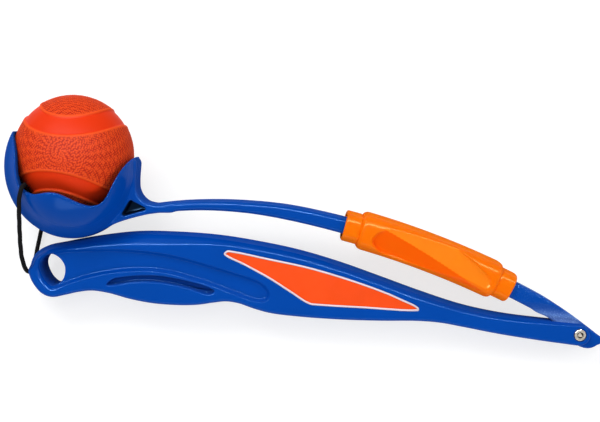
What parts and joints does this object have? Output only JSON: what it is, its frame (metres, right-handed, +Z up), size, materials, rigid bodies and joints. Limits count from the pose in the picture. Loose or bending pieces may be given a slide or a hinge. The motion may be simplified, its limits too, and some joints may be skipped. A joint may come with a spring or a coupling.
{
  "type": "dog ball thrower",
  "caption": "Folding ball launcher for dogs: a hollow grip, a curved throwing arm with a cup that clips a ball, a locking sleeve, a screw hinge and an elastic loop that holds it shut.",
  "frame": {"origin": "middle of the footprint, on the surface that the thrower lies on", "axes": "+X along the grip from the cup end to the hinge end, +Y across the fold from the grip towards the ball, +Z up from the table; the plane of the fold is rolled about 22 degrees from the table because the thrower lies on its cup and on the edge of its grip"},
  "size_m": [0.3272, 0.132, 0.072],
  "materials": {
    "blue_plastic": "satin moulded polypropylene",
    "orange_plastic": "glossy moulded plastic",
    "badge_orange": "satin label, bare",
    "badge_silver": "thin pale silver border",
    "screw_steel": "bright plated steel",
    "ball_rubber": "pebbled rubber",
    "loop_black": "braided elastic cord"
  },
  "bodies": {
    "handle": {"handle_front_shell": "blue_plastic", "handle_rear_shell": "blue_plastic", "badge_trim": "badge_silver", "badge_plate": "badge_orange", "pivot_screw": "screw_steel", "pivot_barrel": "screw_steel"},
    "arm": {"launcher_arm": "blue_plastic", "hold_loop": "loop_black", "loop_ferrule": "loop_black"},
    "sleeve": {"lock_sleeve": "orange_plastic"},
    "ball": {"ball": "ball_rubber"}
  },
  "joints": [
    {"name": "fold", "type": "hinge", "parent": "handle", "child": "arm", "pos_m": [0.14845, -0.05661, 0.01008], "axis": [0.0255, 0.3821, -0.9238], "range_deg": [0, 149], "deforming": ["hold_loop"]},
    {"name": "sleeve_travel", "type": "hinge", "parent": "arm", "child": "sleeve", "pos_m": [-0.09929, -0.43025, -0.15129], "axis": [0.0255, 0.3821, -0.9238], "range_deg": [-3.58, 1.79]},
    {"name": "ball_release", "type": "slide", "parent": "arm", "child": "ball", "axis": [0.2078, 0.9019, 0.3787], "range_m": [0, 0.07]}
  ]
}
